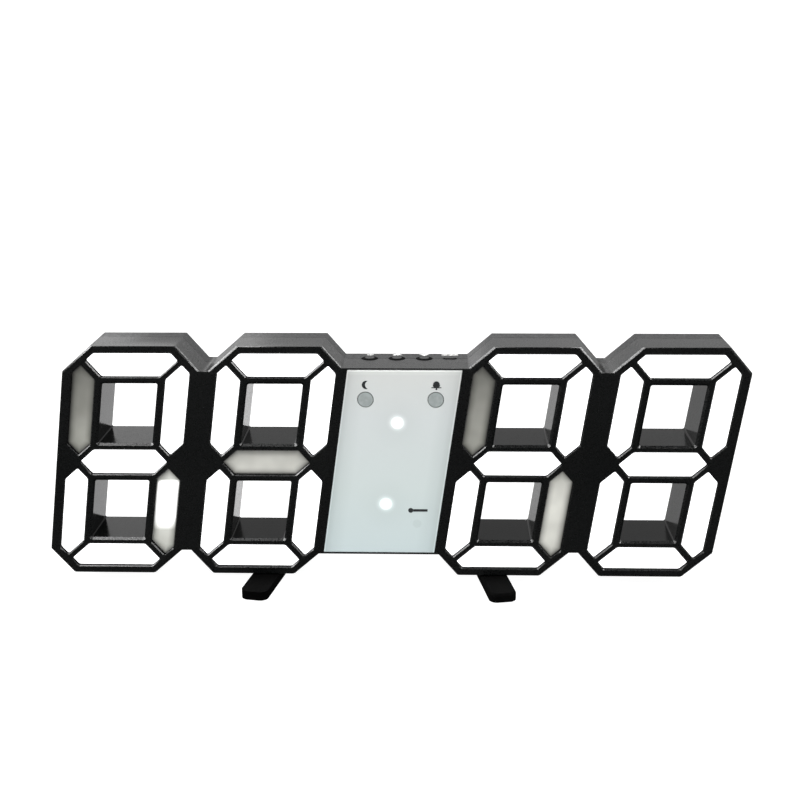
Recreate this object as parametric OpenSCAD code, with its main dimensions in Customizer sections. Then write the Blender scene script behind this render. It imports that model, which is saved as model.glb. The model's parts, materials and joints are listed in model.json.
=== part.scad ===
// Digital clock with four open digits and a light panel between them.
// Each digit is a leaning figure of eight that can be seen through.
// X runs to the right, Y to the back and Z up. The front face looks along -Y.
// The origin is on the table, under the middle of the body.

/* [Body] */
// Depth of the body, from the front face to the back face
body_depth = 18.5; // [18:0.1:21]
// Depth of the rear cover, from the seam to the back face
cover_depth = 6.5; // [6:0.1:6.7]
// Lean of the digits to the right, in degrees
slant = 8; // [5:0.5:9]
// Thickness of the outer walls and of the walls round the digit holes
wall = 1.2; // [1:0.05:1.4]
// Thickness of the front plate
face_t = 1.4; // [1.2:0.1:1.8]
// Thickness of the back wall
back_t = 1.5; // [1.2:0.1:1.8]

/* [Digits] */
// Width of one digit
digit_w = 41.5; // [41:0.1:44]
// Height of one digit
digit_h = 73.6; // [72:0.1:78]
// Size of the cut corners of a digit
corner_cut = 7.8; // [7.2:0.1:8.4]
// Gap between two neighbouring digits, which the shell bridges
digit_gap = 2.6; // [2:0.1:5]
// Border between the outer side and the side windows
side_border = 2.85; // [2.7:0.05:3.2]
// Border between the top edge and the top window
end_border = 2.3; // [2.1:0.05:2.8]
// Border between a cut corner and the windows beside it
cut_border = 2.5; // [2.2:0.05:2.8]
// Width of the ribs between two windows
rib_t = 2; // [1.8:0.05:2.3]
// Width of a digit's sides, from the edge to the see-through holes
side_w = 12.35; // [12:0.05:13]
// Height of a digit's top and bottom, from the edge to the see-through holes
end_h = 11.75; // [11.3:0.05:12.5]
// Height between the two see-through holes of a digit
waist_h = 12.1; // [11.8:0.1:13]
// Rim between a hole and the window beside it
hole_rim_side = 2.3; // [2.2:0.05:2.6]
// Rim between a hole and the window above or below it
hole_rim_end = 2.1; // [2:0.05:2.4]
// Depth of the solid wedge at each side of a digit's waist
waist_wedge = 8.75; // [8.2:0.05:9.2]

/* [Light parts] */
// Thickness of the diffusers behind the windows
diffuser_t = 1.2; // [1:0.1:1.6]
// How far a diffuser reaches under the front plate
diffuser_lip = 0.5; // [0.35:0.05:0.6]
// Room between a digit's circuit board and the back wall
digit_rear_room = 7.4; // [7.2:0.1:7.8]
// Thickness of a digit's circuit board
digit_board_t = 1; // [0.8:0.1:1.2]
// Distance from the middle of a segment to each of its two lamps
lamp_spread = 4.6; // [4:0.1:5]

/* [Centre panel] */
// Width of the body between the second and the third digit
centre_w = 35.5; // [35:0.1:38]
// Step from the top of the digits down to the top of the centre body
top_step = 6.6; // [5.8:0.1:7.2]
// Step from the bottom of the digits up to the bottom of the centre body
bottom_step = 6.9; // [5.8:0.1:7.4]
// Lip between the panel and the faces above and below it
panel_lip = 0.55; // [0.5:0.05:0.8]
// Lip between the panel and the digits beside it
panel_side_lip = 0.45; // [0.3:0.05:0.6]
// Thickness of the light panel
panel_t = 1.6; // [1.4:0.1:2]
// Width of the seat behind the sides of the panel
panel_seat = 0.6; // [0.5:0.05:0.7]
// Diameter of the indicator windows in the panel
indicator_d = 4.8; // [4:0.1:5.2]
// Diameter of the colon lights
colon_d = 5.2; // [4.6:0.1:5.6]
// Room between the main circuit board and the back wall
main_rear_room = 7.7; // [7.5:0.1:7.9]
// Thickness of the main circuit board
main_board_t = 1.6; // [1.4:0.1:1.8]

/* [Buttons] */
// Diameter of the round button caps
button_d = 5.2; // [4.8:0.1:5.4]
// Distance between two neighbouring buttons
button_pitch = 8.4; // [8.1:0.1:8.5]
// How far a round cap stands above the top face
button_rise = 0.3; // [0.2:0.05:0.6]
// How far the last, oblong cap stands above the top face
mode_rise = 0.2; // [0.15:0.05:0.4]
// Travel of a button
button_travel = 0.5; // [0.3:0.05:0.6]

/* [Feet] */
// Width of a foot bar
foot_w = 8.4; // [7.6:0.1:9]
// Thickness of a foot bar
foot_t = 2.8; // [2.6:0.1:3.2]
// Reach of a foot from its pivot to its front end
foot_front = 27.4; // [25:0.1:30]
// Angle by which the front end of a foot turns outward
foot_splay = 10; // [0:1:15]
// Distance of the left pivot from the middle of the body
left_pivot_x = 37.4; // [35:0.1:42]
// Distance of the right pivot from the middle of the body
right_pivot_x = 29.7; // [28:0.1:34]
// Thickness of the washer between a foot and the body
washer_t = 0.3; // [0.3:0.05:0.5]
// Height of the rubber pads below a foot
pad_rise = 0.3; // [0.2:0.05:0.5]

/* [Battery and inlet] */
// Diameter of the coin cell
cell_d = 20; // [19.6:0.1:20.4]
// Thickness of the coin cell
cell_t = 3.2; // [2.5:0.1:3.4]
// Side of the square battery door
door_w = 24; // [23:0.1:24.8]
// Diameter of the hole in the back wall for the power plug
plug_hole_d = 6.4; // [5.6:0.1:6.8]
// Diameter of the socket in the power jack
jack_socket_d = 3.5; // [3:0.1:4]
// Diameter of a keyhole's round part
keyhole_d = 6; // [5.6:0.1:6.1]
// Width of a keyhole's slot
keyhole_slot_w = 3.4; // [3:0.1:3.8]

/* [Hidden] */
$fn = 48;

// Overrun of a cut past the face it opens
over = 0.5;
// Overlap of two shapes of one solid
lap = 0.3;
// Gap between a fixed piece and the pocket that holds it
fit = 0.15;
// Radial gap between a moving piece and its hole
run = 0.06;

// Depths along Y
front_y = -body_depth / 2;
back_y = body_depth / 2;
seam_y = back_y - cover_depth;
frame_depth = seam_y - front_y;
rear_in = back_y - back_t;
plate_back = front_y + face_t;
digit_board_back = rear_in - digit_rear_room;
digit_board_y = digit_board_back - digit_board_t;
reflector_depth = digit_board_y - plate_back;
panel_recess = 0.1;
panel_y = front_y + panel_recess;
panel_back = panel_y + panel_t;
main_board_back = rear_in - main_rear_room;
main_board_y = main_board_back - main_board_t;
light_box_depth = main_board_y - panel_back;

// Heights along Z
body_z = pad_rise + foot_t + washer_t;
mid_z = body_z + digit_h / 2;

// Places of the digits along X
digit_pitch = digit_w + digit_gap;
inner_x = (centre_w + digit_w) / 2;
digit_x = [-inner_x - digit_pitch, -inner_x, inner_x, inner_x + digit_pitch];

// Outlines hold [x, height above the middle], upright, and run anticlockwise
half_w = digit_w / 2;
half_h = digit_h / 2;
shoulder = half_h - corner_cut;
waist_tip = half_w - waist_wedge;
hole_w = digit_w - 2 * side_w;
hole_h = half_h - waist_h / 2 - end_h;
hole_low = waist_h / 2;
hole_high = hole_low + hole_h;
side_in = hole_w / 2 + hole_rim_side;
side_out = half_w - side_border;
end_in = hole_high + hole_rim_end;
end_out = half_h - end_border;
waist_in = hole_low - hole_rim_end;

// The diagonal edges are lines of constant x + height or height - x.
// A rib starts a little beside the corner of the hole.
diagonal = sqrt(2);
rib_half = rib_t / 2 * diagonal;
top_rib_shift = 0.25;
waist_rib_shift = 0.45;
top_rib = hole_high - hole_w / 2 + top_rib_shift;
waist_rib = hole_low + hole_w / 2 + waist_rib_shift;
cut_line = half_w + shoulder - cut_border * diagonal;
end_line = top_rib + rib_half;
side_line = top_rib - rib_half;
low_line = waist_rib + rib_half;
mid_line = waist_rib - rib_half;

digit_outline = [
    [half_w - corner_cut, -half_h], [half_w, -shoulder],
    [half_w, shoulder], [half_w - corner_cut, half_h],
    [corner_cut - half_w, half_h], [-half_w, shoulder],
    [-half_w, -shoulder], [corner_cut - half_w, -half_h],
];
hole_outline = box_outline(hole_w / 2, hole_low, hole_high);
end_window = [
    [end_line - end_in, end_in], [end_in - end_line, end_in],
    [(cut_line - end_line) / 2, (cut_line + end_line) / 2], [cut_line - end_out, end_out],
    [end_out - cut_line, end_out], [(end_line - cut_line) / 2, (cut_line + end_line) / 2],
];
side_window = [
    [(low_line + waist_tip) / 2, (low_line - waist_tip) / 2], [side_out, side_out - waist_tip],
    [side_out, cut_line - side_out], [(cut_line - side_line) / 2, (cut_line + side_line) / 2],
    [side_in, side_in + side_line], [side_in, low_line - side_in],
];
middle_window = [
    [waist_in - mid_line, -waist_in], [mid_line - waist_in, -waist_in], [mid_line, 0],
    [mid_line - waist_in, waist_in], [waist_in - mid_line, waist_in], [-mid_line, 0],
];
windows = [
    end_window, side_window, upside_down(side_window), upside_down(end_window),
    upside_down(mirrored(side_window)), mirrored(side_window), middle_window,
];

// Columns of a digit hold the case screws, the posts and the cable sockets
boss_r = 2.2;
cover_boss_r = 2.6;
boss_x = half_w - wall - boss_r + lap;
column_x = (side_in + side_out) / 2;
post_r = 1.2;
post_height_share = 0.84;
link_height_share = 0.37;
post_z = hole_low + hole_h * post_height_share;
link_z = hole_low + hole_h * link_height_share;

// Centre body
centre_top = half_h - top_step;
centre_bottom = half_h - bottom_step;
strip_wall = 1.6;
bridge_lap = 1;
centre_lap = max(centre_top, centre_bottom) - shoulder + lap;
panel_half_w = centre_w / 2 - panel_side_lip;
panel_top = centre_top - panel_lip;
panel_bottom = centre_bottom - panel_lip;
room_half_w = panel_half_w - panel_seat;
room_top = centre_top - strip_wall;
room_bottom = centre_bottom - strip_wall;
panel_gap = 0.05;

// Lights of the panel
indicator_x = 10.6;
indicator_drop = 9.8;
low_indicator_rise = 10.3;
colon_share = 0.434;
indicator_z = centre_top - indicator_drop;
low_indicator_z = centre_bottom - low_indicator_rise;
low_indicator_d = 4;
colon_z = centre_top * colon_share;
pipe_wall = 1.2;
light_box_wall = 1.2;
top_indicators = [[-indicator_x, indicator_z], [indicator_x, indicator_z]];
low_indicator = [indicator_x, -low_indicator_z];
colon_lights = [[0, colon_z], [0, -colon_z]];

// Lamps
lamp_w = 2;
lamp_h = 1.3;
lamp_t = 0.8;
lamp_gap = 0.1;

// Buttons and their switches
first_button_x = 11.2;
mode_shift = 0.5;
mode_w = 4.4;
mode_thick = 2;
flange_rim = 0.6;
mode_flange_rim = 0.4;
flange_t = 0.6;
flange_gap = 0.05;
flange_low = room_top - flange_gap - flange_t;
switch_gap = 0.15;
switch_top = flange_low - button_travel - switch_gap;
switch_w = 4.4;
switch_h = 2.6;
plunger_r = 1;
plunger_reach = 1.1;
plunger_end_gap = 0.1;
button_x = [
    -first_button_x, button_pitch - first_button_x,
    2 * button_pitch - first_button_x, 3 * button_pitch - first_button_x - mode_shift,
];

// Parts on the back of the main board. Their heights are shares of the reach of the centre body.
post_top_share = 0.66;
post_low_share = 0.84;
screw_top_share = 0.13;
screw_low_share = 0.64;
cell_share = 0.2;
chip_share = 0.4;
crystal_share = 0.6;
buzzer_share = 0.4;
thermistor_share = 0.78;
jack_share = 0.7525;
main_board_top = switch_top - switch_gap;
main_post_r = 1.5;
main_post_x = room_half_w - 2 * main_post_r + lap;
main_post_top = centre_top * post_top_share;
main_post_low = centre_bottom * post_low_share;
board_screw_top = centre_top * screw_top_share;
board_screw_low = centre_bottom * screw_low_share;
cell_z = centre_top * cell_share;
holder_rim = 1.4;
holder_floor = 1.25;
contact_w = 4;
contact_t = 0.4;
contact_reach = 4.4;
chip_size = [10, 2.2, 6];
chip_place = [9, -centre_bottom * chip_share];
crystal_r = 1.25;
crystal_l = 7;
crystal_place = [8.5, -centre_bottom * crystal_share];
buzzer_r = 4.75;
buzzer_gap = 2.2;
buzzer_t = main_rear_room - buzzer_gap;
buzzer_place = [-9.5, -centre_bottom * buzzer_share];
sound_hole_r = 0.6;
sound_ring_r = 2.4;
sound_holes = 5;
thermistor_r = 0.9;
thermistor_l = 3;
thermistor_place = [-9, -centre_bottom * thermistor_share];
jack_w = 7;
jack_z = -centre_bottom * jack_share;
jack_gap = 0.1;
jack_floor = 1;
jack_pin_r = 0.5;
jack_pin_gap = 1.2;

// Battery door
door_corner = 2;
door_ledge = 1;
door_ledge_t = 0.8;
door_notch_r = 3;
door_notch_depth = 0.6;
door_place = [0, cell_z];

// Flat cables between the boards
socket_w = 3.2;
socket_h = 7;
link_rise = 0.2;
link_t = 0.3;
link_h = 6;
link_slot_h = 6.8;
link_slot_depth = 1.5;
link_y = seam_y + link_rise;
links = [
    [digit_x[0] + column_x, digit_x[1] - column_x], [digit_x[1] + column_x, -main_post_x],
    [main_post_x, digit_x[2] - column_x], [digit_x[2] + column_x, digit_x[3] - column_x],
];

// Screws
screw_r = 1;
screw_gap = 0.05;
screw_head_r = 1.9;
screw_head_t = 1.4;
screw_sink = 3.5;
screw_grip = 5;
head_gap = 0.2;
pilot_room = 1;
slot_w = 0.5;
slot_share = 0.7;
slot_depth = 0.7;
board_screw_r = 0.85;
board_head_r = 1.5;
board_head_t = 1;
board_screw_end_gap = 2;
board_screw_grip = light_box_depth - board_screw_end_gap;
board_screw_places = [
    for (side = [-1, 1], z = [board_screw_top, -board_screw_low]) [side * main_post_x, z]
];

// Keyholes in the back wall of the outer digits
keyhole_z = wall + hole_high + keyhole_d / 2 + fit;
keyhole_slot_rise = 3.3;

// Feet
foot_boss_r = 2.1;
foot_boss_h = 6.2;
foot_boss_gap = 0.1;
pivot_y = seam_y + foot_boss_r + foot_boss_gap;
foot_rear = foot_front - 2 * pivot_y / cos(foot_splay);
foot_corner = 2.4;
shoulder_r = 1.5;
foot_head_r = 2.2;
foot_head_t = 1.2;
foot_sink = 1.5;
foot_screw_grip = 5;
washer_r = 3.2;
pad_r = 2.6;
pad_sink = 0.5;

function lean(p) = [p.x + tan(slant) * p.y, p.y];
function leaned(points) = [for (p = points) lean(p)];
function mirrored(points) = [for (i = [len(points) - 1:-1:0]) [-points[i].x, points[i].y]];
function upside_down(points) = [for (i = [len(points) - 1:-1:0]) [points[i].x, -points[i].y]];
function box_outline(w, low, high) = [[-w, low], [w, low], [w, high], [-w, high]];
function outward(a, b) = [b.y - a.y, a.x - b.x] / norm(b - a);

// Moves every edge of an anticlockwise outline outward by d
function outset(points, d) = [
    for (i = [0:len(points) - 1])
        let (n = len(points))
        let (before = outward(points[(i + n - 1) % n], points[i]))
        let (after = outward(points[i], points[(i + 1) % n]))
        points[i] + d * (before + after) / (1 + before * after)
];

// Extrudes a flat shape of [x, height above the middle] from y to the back
module slab(y, depth) {
    translate([0, y + depth, mid_z])
        rotate([90, 0, 0])
            linear_extrude(depth)
                children();
}

module rod(place, r, y, depth) {
    translate([lean(place).x, y + depth, mid_z + place.y])
        rotate([90, 0, 0])
            cylinder(h = depth, r = r);
}

// A block centred on a place, standing on the plane y
module block(place, size, y) {
    translate([lean(place).x - size.x / 2, y, mid_z + place.y - size.z / 2])
        cube(size);
}

module rounded_rect(w, h, r) {
    square([w - 2 * r, h], center = true);
    square([w, h - 2 * r], center = true);
    for (x = [-1, 1], y = [-1, 1])
        translate([x * (w / 2 - r), y * (h / 2 - r)])
            circle(r);
}

module at_digit(i) {
    translate([digit_x[i], 0, 0])
        children();
}

module digit_holes(grow) {
    polygon(outset(leaned(hole_outline), grow));
    polygon(outset(leaned(upside_down(hole_outline)), grow));
}

module silhouette() {
    for (x = digit_x)
        translate([x, 0])
            polygon(leaned(digit_outline));
    for (i = [0, 2])
        translate([digit_x[i] + digit_pitch / 2, 0])
            polygon(leaned(box_outline(digit_gap / 2 + bridge_lap, -shoulder, shoulder)));
    polygon(leaned(box_outline(centre_w / 2 + centre_lap, -centre_bottom, centre_top)));
}

// Room of a digit between its outer wall and the walls of its holes
module digit_room(gap, boss) {
    difference() {
        polygon(outset(leaned(digit_outline), -wall - gap));
        digit_holes(wall + gap);
        for (side = [-1, 1])
            translate([side * boss_x, 0])
                circle(boss + gap);
    }
}

module centre_room(gap, top) {
    polygon(outset(leaned(box_outline(room_half_w, -room_bottom, top)), -gap));
}

module button_shape(i, gap) {
    ends = i < 3 ? [0] : [mode_thick - mode_w, mode_w - mode_thick] / 2;
    for (x = ends)
        translate([x, 0])
            circle((i < 3 ? button_d : mode_thick) / 2 + gap);
    if (i == 3)
        square([mode_w - mode_thick, mode_thick + 2 * gap], center = true);
}

module at_button(i, z) {
    translate([lean([button_x[i], centre_top]).x, seam_y, mid_z + z])
        children();
}

module button_holes() {
    for (i = [0:3])
        at_button(i, room_top - over)
            linear_extrude(strip_wall + 2 * over)
                button_shape(i, run);
}

module case_screw_holes() {
    for (x = digit_x, side = [-1, 1])
        rod([x + side * boss_x, 0], screw_r + screw_gap, seam_y - screw_grip - pilot_room, body_depth);
}

module front_frame() {
    color("#17191b")
        difference() {
            slab(front_y, frame_depth)
                silhouette();
            for (i = [0:3])
                at_digit(i) {
                    slab(plate_back, frame_depth)
                        digit_room(0, boss_r);
                    slab(front_y - over, body_depth)
                        digit_holes(0);
                    slab(front_y - over, face_t + 2 * over)
                        for (w = windows)
                            polygon(leaned(w));
                }
            slab(front_y - over, panel_back - front_y + over)
                polygon(leaned(box_outline(panel_half_w, -panel_bottom, panel_top)));
            slab(front_y - over, body_depth)
                centre_room(0, room_top);
            case_screw_holes();
            button_holes();
        }
}

module cover_posts() {
    for (x = digit_x, side = [-1, 1], z = [post_z, -post_z])
        rod([x + side * column_x, z], post_r, digit_board_back, rear_in + lap - digit_board_back);
    for (side = [-1, 1], z = [main_post_top, -main_post_low])
        rod([side * main_post_x, z], main_post_r, main_board_back, rear_in + lap - main_board_back);
}

module foot_places() {
    translate([-left_pivot_x, pivot_y, 0])
        children();
    translate([right_pivot_x, pivot_y, 0])
        children();
}

module cover_shell() {
    difference() {
        slab(seam_y, back_y - seam_y)
            silhouette();
        for (i = [0:3])
            at_digit(i)
                slab(seam_y - over, rear_in - seam_y + over)
                    digit_room(0, 0);
        slab(seam_y - over, rear_in - seam_y + over)
            centre_room(0, room_top);
    }
    for (x = digit_x, side = [-1, 1])
        rod([x + side * boss_x, 0], cover_boss_r, seam_y, rear_in + lap - seam_y);
    cover_posts();
    foot_places()
        translate([0, 0, body_z])
            cylinder(h = foot_boss_h, r = foot_boss_r);
    translate([lean(door_place).x, 0, door_place.y])
        slab(rear_in - door_ledge_t, door_ledge_t + lap)
            difference() {
                rounded_rect(door_w + 2 * door_ledge, door_w + 2 * door_ledge, door_corner);
                rounded_rect(door_w - 2 * door_ledge, door_w - 2 * door_ledge, door_corner);
            }
}

// A flat strip between two upright places at the height of the cables
module strip(ends, y, depth, h) {
    translate([lean([ends[0], link_z]).x, y, mid_z + link_z - h / 2])
        cube([ends[1] - ends[0], depth, h]);
}

module keyholes() {
    for (i = [0, 3])
        at_digit(i)
            translate([lean([0, keyhole_z]).x, 0, keyhole_z])
                slab(rear_in - over, back_t + 2 * over) {
                    circle(keyhole_d / 2);
                    translate([-keyhole_slot_w / 2, 0])
                        square([keyhole_slot_w, keyhole_slot_rise]);
                    translate([0, keyhole_slot_rise])
                        circle(keyhole_slot_w / 2);
                }
}

module sound_hole_ring() {
    for (i = [1:sound_holes])
        translate([
            lean(buzzer_place).x + sound_ring_r * cos(i * 360 / sound_holes), 0,
            buzzer_place.y + sound_ring_r * sin(i * 360 / sound_holes)
        ])
            slab(rear_in - over, back_t + 2 * over)
                circle(sound_hole_r);
}

module rear_cover() {
    color("#141618")
        difference() {
            cover_shell();
            for (i = [0:3])
                at_digit(i)
                    slab(seam_y - over, body_depth)
                        digit_holes(0);
            case_screw_holes();
            for (x = digit_x, side = [-1, 1])
                rod([x + side * boss_x, 0], screw_head_r + head_gap, back_y - screw_sink, screw_sink + over);
            translate([lean(door_place).x, 0, door_place.y])
                slab(rear_in, back_t + over)
                    rounded_rect(door_w + 2 * run, door_w + 2 * run, door_corner);
            rod([0, jack_z], plug_hole_d / 2, rear_in - over, back_t + 2 * over);
            foot_places()
                translate([0, 0, body_z - over])
                    cylinder(h = foot_screw_grip + pilot_room + over, r = screw_r + screw_gap);
            keyholes();
            sound_hole_ring();
            for (ends = links)
                strip(ends, seam_y - over, link_slot_depth + over, link_slot_h);
            button_holes();
        }
}

module face_panel() {
    color("#cdd7da")
        difference() {
            slab(panel_y, panel_t)
                polygon(outset(leaned(box_outline(panel_half_w, -panel_bottom, panel_top)), -panel_gap));
            for (p = top_indicators)
                rod(p, indicator_d / 2 + run, panel_y - over, panel_t + 2 * over);
        }
}

module panel_light_box() {
    color("#f2f2ee")
        difference() {
            union() {
                difference() {
                    slab(panel_back, light_box_depth)
                        centre_room(fit, room_top);
                    slab(panel_back + light_box_wall, light_box_depth)
                        centre_room(fit + light_box_wall, room_top);
                }
                for (p = top_indicators)
                    rod(p, indicator_d / 2 + pipe_wall, panel_back, light_box_depth);
                rod(low_indicator, low_indicator_d / 2 + pipe_wall, panel_back, light_box_depth);
                for (p = colon_lights)
                    rod(p, colon_d / 2 + pipe_wall, panel_back, light_box_depth);
                for (p = board_screw_places)
                    rod(p, board_screw_r + pipe_wall, panel_back, light_box_depth);
            }
            for (p = top_indicators)
                rod(p, indicator_d / 2 + run, panel_back - over, light_box_depth + 2 * over);
            rod(low_indicator, low_indicator_d / 2 + run, panel_back - over, light_box_depth + 2 * over);
            for (p = colon_lights)
                rod(p, colon_d / 2 + run, panel_back - over, light_box_depth + 2 * over);
            for (p = board_screw_places)
                rod(p, board_screw_r + screw_gap, main_board_y - board_screw_grip - screw_gap, light_box_depth);
        }
}

module light_pipe(place, d, y) {
    rod(place, d / 2, y, main_board_y - lamp_t - lamp_gap - y);
}

module indicator_light_pipes() {
    color("#a5acac") {
        for (p = top_indicators)
            light_pipe(p, indicator_d, panel_y);
        light_pipe(low_indicator, low_indicator_d, panel_back);
    }
}

module colon_light_pipes() {
    color("#f4f8fa")
        for (p = colon_lights)
            light_pipe(p, colon_d, panel_back);
}

module diffusers(i) {
    color("#f5f6f4")
        at_digit(i)
            slab(plate_back, diffuser_t)
                for (w = windows)
                    polygon(outset(leaned(w), diffuser_lip));
}

module reflector(i) {
    color("#e8e8e4")
        at_digit(i)
            difference() {
                slab(plate_back, reflector_depth)
                    digit_room(fit, boss_r);
                slab(plate_back - over, diffuser_t + over)
                    for (w = windows)
                        polygon(outset(leaned(w), diffuser_lip + panel_gap));
                slab(plate_back, reflector_depth + over)
                    for (w = windows)
                        polygon(leaned(w));
            }
}

module digit_board(i) {
    color("#1f5c3a")
        at_digit(i)
            slab(digit_board_y, digit_board_t)
                digit_room(fit, boss_r);
}

module lamp(place) {
    block(place, [lamp_w, lamp_t, lamp_h], digit_board_y - lamp_t);
}

module leds(i) {
    color("#fff3c8")
        at_digit(i)
            for (spread = [-lamp_spread, lamp_spread]) {
                lamp([spread, 0]);
                for (level = [-1, 1]) {
                    lamp([spread, level * (end_in + end_out) / 2]);
                    for (side = [-1, 1])
                        lamp([side * column_x, level * (hole_low + hole_high) / 2 + spread]);
                }
            }
}

module main_board() {
    color("#1f5c3a")
        difference() {
            slab(main_board_y, main_board_t)
                centre_room(fit, main_board_top);
            for (p = board_screw_places)
                rod(p, board_screw_r + screw_gap, main_board_y - over, main_board_t + 2 * over);
        }
}

module main_board_leds() {
    color("#fff3c8")
        for (p = concat(top_indicators, colon_lights, [low_indicator]))
            block(p, [lamp_w, lamp_t, lamp_h], main_board_y - lamp_t);
}

module clock_chip() {
    color("#202020")
        block(chip_place, chip_size, main_board_back);
}

module crystal() {
    color("#c8c8c8")
        translate([lean(crystal_place).x - crystal_l / 2, main_board_back + crystal_r, mid_z + crystal_place.y])
            rotate([0, 90, 0])
                cylinder(h = crystal_l, r = crystal_r);
}

module buzzer() {
    color("#1a1a1a")
        difference() {
            rod(buzzer_place, buzzer_r, main_board_back, buzzer_t);
            rod(buzzer_place, sound_hole_r, main_board_back + buzzer_t / 2, buzzer_t);
        }
}

module thermistor() {
    color("#30343a")
        translate([lean(thermistor_place).x, main_board_back + thermistor_r, mid_z + thermistor_place.y])
            rotate([0, 90, 0])
                cylinder(h = thermistor_l, r = thermistor_r, center = true);
}

module power_jack() {
    depth = rear_in - jack_gap - main_board_back;
    color("#101010")
        difference() {
            block([0, jack_z], [jack_w, depth, jack_w], main_board_back);
            difference() {
                rod([0, jack_z], jack_socket_d / 2, main_board_back + jack_floor, depth);
                rod([0, jack_z], jack_pin_r, main_board_back, depth - jack_pin_gap);
            }
        }
}

module cell_holder() {
    color("#26282a")
        difference() {
            rod([0, cell_z], cell_d / 2 + holder_rim, main_board_back, holder_floor + cell_t);
            rod([0, cell_z], cell_d / 2 + fit, main_board_back + holder_floor, cell_t + over);
        }
}

module cell_contact() {
    color("#c9a24a")
        block([0, cell_z + cell_d / 2 + holder_rim - contact_reach], [contact_w, contact_t, contact_reach],
            main_board_back + holder_floor + cell_t);
}

module coin_cell() {
    color("#c4c8cc")
        rod([0, cell_z], cell_d / 2, main_board_back + holder_floor, cell_t);
}

module battery_door() {
    color("#17191b")
        difference() {
            translate([lean(door_place).x, 0, door_place.y])
                slab(rear_in, back_t)
                    rounded_rect(door_w, door_w, door_corner);
            rod([0, cell_z + door_w / 2 - 2 * door_notch_r], door_notch_r, back_y - door_notch_depth,
                door_notch_depth + over);
        }
}

module link_socket(x, y) {
    block([x, link_z], [socket_w, link_y - y, socket_h], y);
}

module link_sockets() {
    color("#e6e2d4") {
        for (ends = [links[0], links[3]], x = ends)
            link_socket(x, digit_board_back);
        link_socket(links[1][0], digit_board_back);
        link_socket(links[1][1], main_board_back);
        link_socket(links[2][0], main_board_back);
        link_socket(links[2][1], digit_board_back);
    }
}

module board_links() {
    color("#d8d4c0")
        for (ends = links)
            strip([ends[0] - socket_w / 2, ends[1] + socket_w / 2], link_y, link_t, link_h);
}

module switch_housings() {
    depth = 2 * (seam_y - main_board_back);
    color("#1a1a1a")
        for (i = [0:3])
            at_button(i, switch_top - switch_h)
                difference() {
                    translate([-switch_w / 2, -depth / 2, 0])
                        cube([switch_w, depth, switch_h]);
                    translate([0, 0, switch_h - plunger_reach - button_travel - plunger_end_gap])
                        cylinder(h = switch_h, r = plunger_r + run);
                }
}

module plunger(i) {
    color("#d8d8d4")
        at_button(i, switch_top - plunger_reach)
            cylinder(h = flange_low + plunger_reach - switch_top, r = plunger_r);
}

module button(i) {
    rise = i < 3 ? button_rise : mode_rise;
    color("#1b1d20")
        at_button(i, flange_low) {
            linear_extrude(centre_top + rise - flange_low)
                button_shape(i, 0);
            linear_extrude(flange_t)
                button_shape(i, i < 3 ? flange_rim : mode_flange_rim);
        }
}

// A screw along Z: head at the bottom with a cross recess, shank above it
module screw(head_r, head_t, shank_r, shank_l) {
    color("#8d9094") {
        difference() {
            cylinder(h = head_t, r = head_r);
            for (turn = [0, 90])
                rotate([0, 0, turn])
                    translate([-head_r * slot_share, -slot_w / 2, -over])
                        cube([2 * head_r * slot_share, slot_w, over + slot_depth]);
        }
        translate([0, 0, head_t])
            cylinder(h = shank_l, r = shank_r);
    }
}

// Places a screw that goes in from the back, with its head's seat at y
module screw_from_back(place, y, head_t) {
    translate([lean(place).x, y + head_t, mid_z + place.y])
        rotate([90, 0, 0])
            children();
}

module case_screws() {
    seat = back_y - screw_sink;
    for (x = digit_x, side = [-1, 1])
        screw_from_back([x + side * boss_x, 0], seat, screw_head_t)
            screw(screw_head_r, screw_head_t, screw_r, seat - seam_y + screw_grip);
}

module board_screws() {
    for (p = board_screw_places)
        screw_from_back(p, main_board_back, board_head_t)
            screw(board_head_r, board_head_t, board_screw_r, main_board_t + board_screw_grip);
}

module foot() {
    color("#141618")
        difference() {
            translate([0, 0, pad_rise])
                linear_extrude(foot_t)
                    translate([0, (foot_rear - foot_front) / 2])
                        rounded_rect(foot_w, foot_front + foot_rear, foot_corner);
            translate([0, 0, -over])
                cylinder(h = body_z + over, r = shoulder_r + run);
            translate([0, 0, -over])
                cylinder(h = over + pad_rise + foot_sink, r = foot_head_r + head_gap);
            foot_pad_places()
                translate([0, 0, -over])
                    cylinder(h = over + pad_rise + pad_sink, r = pad_r + run);
        }
}

module foot_pad_places() {
    for (y = [foot_w / 2 - foot_front, foot_rear - foot_w / 2])
        translate([0, y, 0])
            children();
}

module foot_pads() {
    color("#202224")
        foot_pad_places()
            cylinder(h = pad_rise + pad_sink, r = pad_r);
}

module at_left_foot() {
    translate([-left_pivot_x, pivot_y, 0])
        rotate([0, 0, -foot_splay])
            children();
}

module at_right_foot() {
    translate([right_pivot_x, pivot_y, 0])
        rotate([0, 0, foot_splay])
            children();
}

module foot_screws() {
    seat = pad_rise + foot_sink;
    foot_places() {
        translate([0, 0, seat - foot_head_t])
            screw(foot_head_r, foot_head_t, shoulder_r, body_z - seat);
        color("#8d9094")
            translate([0, 0, body_z])
                cylinder(h = foot_screw_grip, r = screw_r);
    }
}

module foot_washers() {
    color("#b8babc")
        foot_places()
            translate([0, 0, body_z - washer_t])
                difference() {
                    cylinder(h = washer_t, r = washer_r);
                    translate([0, 0, -over])
                        cylinder(h = washer_t + 2 * over, r = shoulder_r + run);
                }
}

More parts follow.
